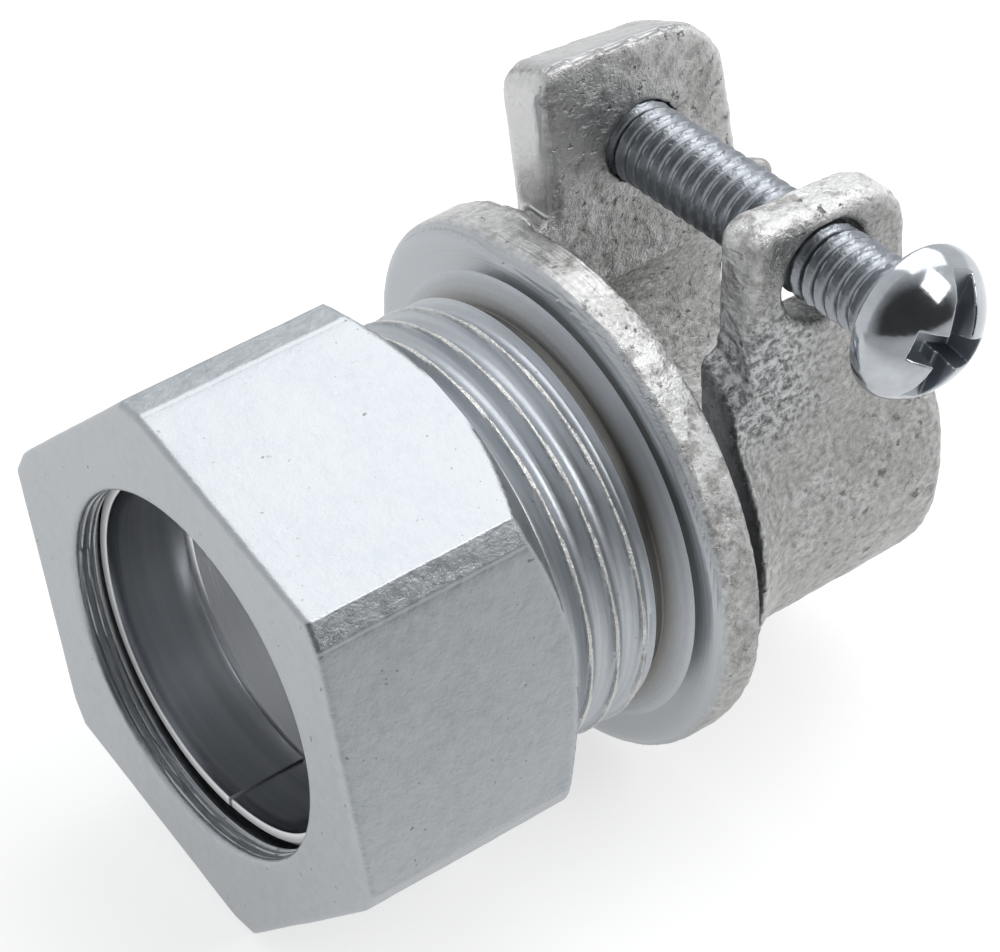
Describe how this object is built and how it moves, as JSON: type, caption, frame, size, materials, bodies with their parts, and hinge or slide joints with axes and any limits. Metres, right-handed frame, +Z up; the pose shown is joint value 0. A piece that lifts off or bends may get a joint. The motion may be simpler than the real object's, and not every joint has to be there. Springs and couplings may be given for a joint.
{
  "type": "conduit coupling",
  "caption": "Straight coupling joining thin-wall conduit in a compression gland nut to flexible metal conduit in a split sleeve squeezed by a screw between ears.",
  "frame": {"origin": "on the coupling's axis at the front face of the flange, just before the stop that ends the conduit socket", "axes": "+X along the axis from the gland nut to the clamp, +Z up through the clamp's ears, the clamp screw's head towards -Y"},
  "size_m": [0.0388, 0.032, 0.0347],
  "materials": {
    "plated_casting": "rough malleable casting with bright zinc plating",
    "plated_nut": "smooth satin zinc plating",
    "plated_ring": "zinc-plated spring steel",
    "bright_screw": "bright zinc plating"
  },
  "bodies": {
    "coupling": {"coupling_body": "plated_casting"},
    "ring": {"compression_ring": "plated_ring"},
    "nut": {"gland_nut": "plated_nut"},
    "screw": {"clamp_screw": "bright_screw"}
  },
  "joints": [
    {"name": "ring_slide", "type": "slide", "parent": "coupling", "child": "ring", "axis": [-1, 0, 0], "range_m": [0, 0.00715]},
    {"name": "nut_turn", "type": "hinge", "parent": "ring", "child": "nut", "pos_m": [0, 0, 0], "axis": [-1, 0, 0], "range_deg": [0, 1620]},
    {"name": "screw_travel", "type": "slide", "parent": "coupling", "child": "screw", "axis": [0, 1, 0], "range_m": [-0.005, 0.0052]}
  ],
  "couplings": [
    {"joint": "ring_slide", "follows": "nut_turn", "m_per_rad": 0.00025266}
  ]
}
